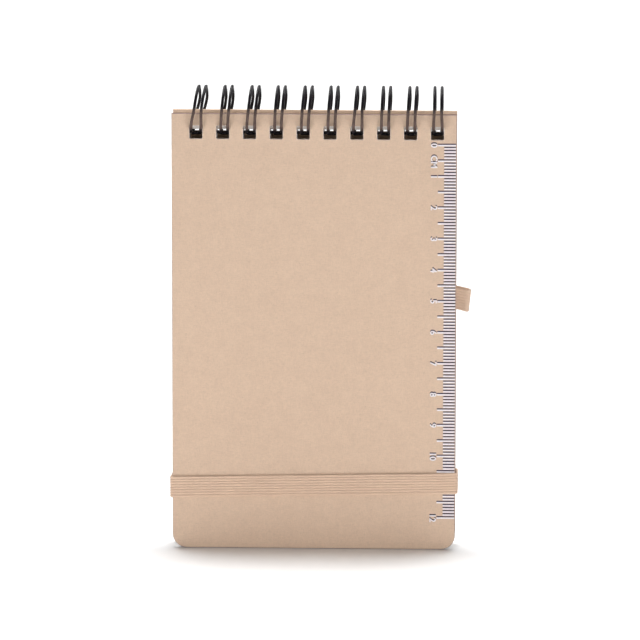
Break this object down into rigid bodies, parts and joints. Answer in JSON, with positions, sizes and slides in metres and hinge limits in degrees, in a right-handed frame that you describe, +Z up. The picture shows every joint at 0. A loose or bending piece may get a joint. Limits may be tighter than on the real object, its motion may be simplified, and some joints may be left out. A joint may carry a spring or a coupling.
{
  "type": "pocket notebook",
  "caption": "Top-bound pocket notebook: kraft board covers and leaves on a twin-loop wire, a centimetre ruler down the front cover's edge, an elastic closing band and a pen loop.",
  "frame": {"origin": "middle of the closed book's footprint, with its lower edges on z = 0", "axes": "+X to the reader's right across the front cover, +Y from the front cover to the back cover, +Z up to the wire binding"},
  "size_m": [0.0954, 0.0158, 0.1485],
  "materials": {
    "kraft_board": "matt, uncoated kraft board",
    "lining_paper": "matt kraft paper",
    "page_paper": "matt, ruled",
    "black_wire": "gloss coated",
    "kraft_elastic": "ribbed woven elastic"
  },
  "bodies": {
    "back": {"back_cover": "kraft_board", "back_lining": "lining_paper", "elastic_band": "kraft_elastic", "pen_loop": "kraft_elastic"},
    "front_cover": {"front_cover": "kraft_board"},
    "binding": {"twin_loop_wire": "black_wire"},
    "leaves_01_05": {"leaves_01_05": "page_paper"},
    "leaves_06_10": {"leaves_06_10": "page_paper"},
    "leaves_11_15": {"leaves_11_15": "page_paper"},
    "leaves_16_20": {"leaves_16_20": "page_paper"},
    "leaves_21_25": {"leaves_21_25": "page_paper"},
    "leaves_26_30": {"leaves_26_30": "page_paper"},
    "leaf_31": {"leaf_31": "page_paper"},
    "leaf_32": {"leaf_32": "page_paper"},
    "leaf_33": {"leaf_33": "page_paper"},
    "leaf_34": {"leaf_34": "page_paper"},
    "leaf_35": {"leaf_35": "page_paper"},
    "leaf_36": {"leaf_36": "page_paper"},
    "leaf_37": {"leaf_37": "page_paper"},
    "leaf_38": {"leaf_38": "page_paper"},
    "leaf_39": {"leaf_39": "page_paper"},
    "leaf_40": {"leaf_40": "page_paper"},
    "leaves_41_45": {"leaves_41_45": "page_paper"},
    "leaves_46_50": {"leaves_46_50": "page_paper"},
    "leaves_51_55": {"leaves_51_55": "page_paper"},
    "leaves_56_60": {"leaves_56_60": "page_paper"},
    "leaves_61_65": {"leaves_61_65": "page_paper"},
    "leaves_66_70": {"leaves_66_70": "page_paper"}
  },
  "joints": [
    {"name": "front_cover_turn", "type": "hinge", "parent": "back", "child": "front_cover", "pos_m": [-0.00187, 0, 0.1406], "axis": [-1, 0, 0], "range_deg": [0, 190], "deforming": ["elastic_band"]},
    {"name": "binding_turn", "type": "hinge", "parent": "back", "child": "binding", "pos_m": [-0.00187, 0, 0.1406], "axis": [-1, 0, 0], "range_deg": [0, 189.2]},
    {"name": "leaves_01_05_turn", "type": "hinge", "parent": "back", "child": "leaves_01_05", "pos_m": [-0.00187, 0, 0.1406], "axis": [-1, 0, 0], "range_deg": [0, 187.8]},
    {"name": "leaves_06_10_turn", "type": "hinge", "parent": "back", "child": "leaves_06_10", "pos_m": [-0.00187, 0, 0.1406], "axis": [-1, 0, 0], "range_deg": [0, 185.5]},
    {"name": "leaves_11_15_turn", "type": "hinge", "parent": "back", "child": "leaves_11_15", "pos_m": [-0.00187, 0, 0.1406], "axis": [-1, 0, 0], "range_deg": [0, 182.5]},
    {"name": "leaves_16_20_turn", "type": "hinge", "parent": "back", "child": "leaves_16_20", "pos_m": [-0.00187, 0, 0.1406], "axis": [-1, 0, 0], "range_deg": [0, 179.5]},
    {"name": "leaves_21_25_turn", "type": "hinge", "parent": "back", "child": "leaves_21_25", "pos_m": [-0.00187, 0, 0.1406], "axis": [-1, 0, 0], "range_deg": [0, 176]},
    {"name": "leaves_26_30_turn", "type": "hinge", "parent": "back", "child": "leaves_26_30", "pos_m": [-0.00187, 0, 0.1406], "axis": [-1, 0, 0], "range_deg": [0, 172]},
    {"name": "leaf_31_turn", "type": "hinge", "parent": "back", "child": "leaf_31", "pos_m": [-0.00187, 0, 0.1406], "axis": [-1, 0, 0], "range_deg": [0, 158.5]},
    {"name": "leaf_32_turn", "type": "hinge", "parent": "back", "child": "leaf_32", "pos_m": [-0.00187, 0, 0.1406], "axis": [-1, 0, 0], "range_deg": [0, 144.5]},
    {"name": "leaf_33_turn", "type": "hinge", "parent": "back", "child": "leaf_33", "pos_m": [-0.00187, 0, 0.1406], "axis": [-1, 0, 0], "range_deg": [0, 130.5]},
    {"name": "leaf_34_turn", "type": "hinge", "parent": "back", "child": "leaf_34", "pos_m": [-0.00187, 0, 0.1406], "axis": [-1, 0, 0], "range_deg": [0, 116.5]},
    {"name": "leaf_35_turn", "type": "hinge", "parent": "back", "child": "leaf_35", "pos_m": [-0.00187, 0, 0.1406], "axis": [-1, 0, 0], "range_deg": [0, 102.5]},
    {"name": "leaf_36_turn", "type": "hinge", "parent": "back", "child": "leaf_36", "pos_m": [-0.00187, 0, 0.1406], "axis": [-1, 0, 0], "range_deg": [0, 88.5]},
    {"name": "leaf_37_turn", "type": "hinge", "parent": "back", "child": "leaf_37", "pos_m": [-0.00187, 0, 0.1406], "axis": [-1, 0, 0], "range_deg": [0, 74.5]},
    {"name": "leaf_38_turn", "type": "hinge", "parent": "back", "child": "leaf_38", "pos_m": [-0.00187, 0, 0.1406], "axis": [-1, 0, 0], "range_deg": [0, 60.5]},
    {"name": "leaf_39_turn", "type": "hinge", "parent": "back", "child": "leaf_39", "pos_m": [-0.00187, 0, 0.1406], "axis": [-1, 0, 0], "range_deg": [0, 46.5]},
    {"name": "leaf_40_turn", "type": "hinge", "parent": "back", "child": "leaf_40", "pos_m": [-0.00187, 0, 0.1406], "axis": [-1, 0, 0], "range_deg": [0, 32.5]},
    {"name": "leaves_41_45_turn", "type": "hinge", "parent": "back", "child": "leaves_41_45", "pos_m": [-0.00187, 0, 0.1406], "axis": [-1, 0, 0], "range_deg": [0, 24.5]},
    {"name": "leaves_46_50_turn", "type": "hinge", "parent": "back", "child": "leaves_46_50", "pos_m": [-0.00187, 0, 0.1406], "axis": [-1, 0, 0], "range_deg": [0, 18]},
    {"name": "leaves_51_55_turn", "type": "hinge", "parent": "back", "child": "leaves_51_55", "pos_m": [-0.00187, 0, 0.1406], "axis": [-1, 0, 0], "range_deg": [0, 12.5]},
    {"name": "leaves_56_60_turn", "type": "hinge", "parent": "back", "child": "leaves_56_60", "pos_m": [-0.00187, 0, 0.1406], "axis": [-1, 0, 0], "range_deg": [0, 8.5]},
    {"name": "leaves_61_65_turn", "type": "hinge", "parent": "back", "child": "leaves_61_65", "pos_m": [-0.00187, 0, 0.1406], "axis": [-1, 0, 0], "range_deg": [0, 5.5]},
    {"name": "leaves_66_70_turn", "type": "hinge", "parent": "back", "child": "leaves_66_70", "pos_m": [-0.00187, 0, 0.1406], "axis": [-1, 0, 0], "range_deg": [0, 3]}
  ],
  "couplings": [
    {"joint": "binding_turn", "follows": "front_cover_turn", "ratio": 0.99316},
    {"joint": "leaves_01_05_turn", "follows": "front_cover_turn", "ratio": 0.98579},
    {"joint": "leaves_06_10_turn", "follows": "front_cover_turn", "ratio": 0.97368},
    {"joint": "leaves_11_15_turn", "follows": "front_cover_turn", "ratio": 0.95789},
    {"joint": "leaves_16_20_turn", "follows": "front_cover_turn", "ratio": 0.94211},
    {"joint": "leaves_21_25_turn", "follows": "front_cover_turn", "ratio": 0.92368},
    {"joint": "leaves_26_30_turn", "follows": "front_cover_turn", "ratio": 0.90263},
    {"joint": "leaf_31_turn", "follows": "front_cover_turn", "ratio": 0.83158},
    {"joint": "leaf_32_turn", "follows": "front_cover_turn", "ratio": 0.75789},
    {"joint": "leaf_33_turn", "follows": "front_cover_turn", "ratio": 0.68421},
    {"joint": "leaf_34_turn", "follows": "front_cover_turn", "ratio": 0.61053},
    {"joint": "leaf_35_turn", "follows": "front_cover_turn", "ratio": 0.53684},
    {"joint": "leaf_36_turn", "follows": "front_cover_turn", "ratio": 0.46316},
    {"joint": "leaf_37_turn", "follows": "front_cover_turn", "ratio": 0.38947},
    {"joint": "leaf_38_turn", "follows": "front_cover_turn", "ratio": 0.31579},
    {"joint": "leaf_39_turn", "follows": "front_cover_turn", "ratio": 0.24211},
    {"joint": "leaf_40_turn", "follows": "front_cover_turn", "ratio": 0.16842},
    {"joint": "leaves_41_45_turn", "follows": "front_cover_turn", "ratio": 0.12632},
    {"joint": "leaves_46_50_turn", "follows": "front_cover_turn", "ratio": 0.09211},
    {"joint": "leaves_51_55_turn", "follows": "front_cover_turn", "ratio": 0.06316},
    {"joint": "leaves_56_60_turn", "follows": "front_cover_turn", "ratio": 0.04211},
    {"joint": "leaves_61_65_turn", "follows": "front_cover_turn", "ratio": 0.02632},
    {"joint": "leaves_66_70_turn", "follows": "front_cover_turn", "ratio": 0.01316}
  ]
}
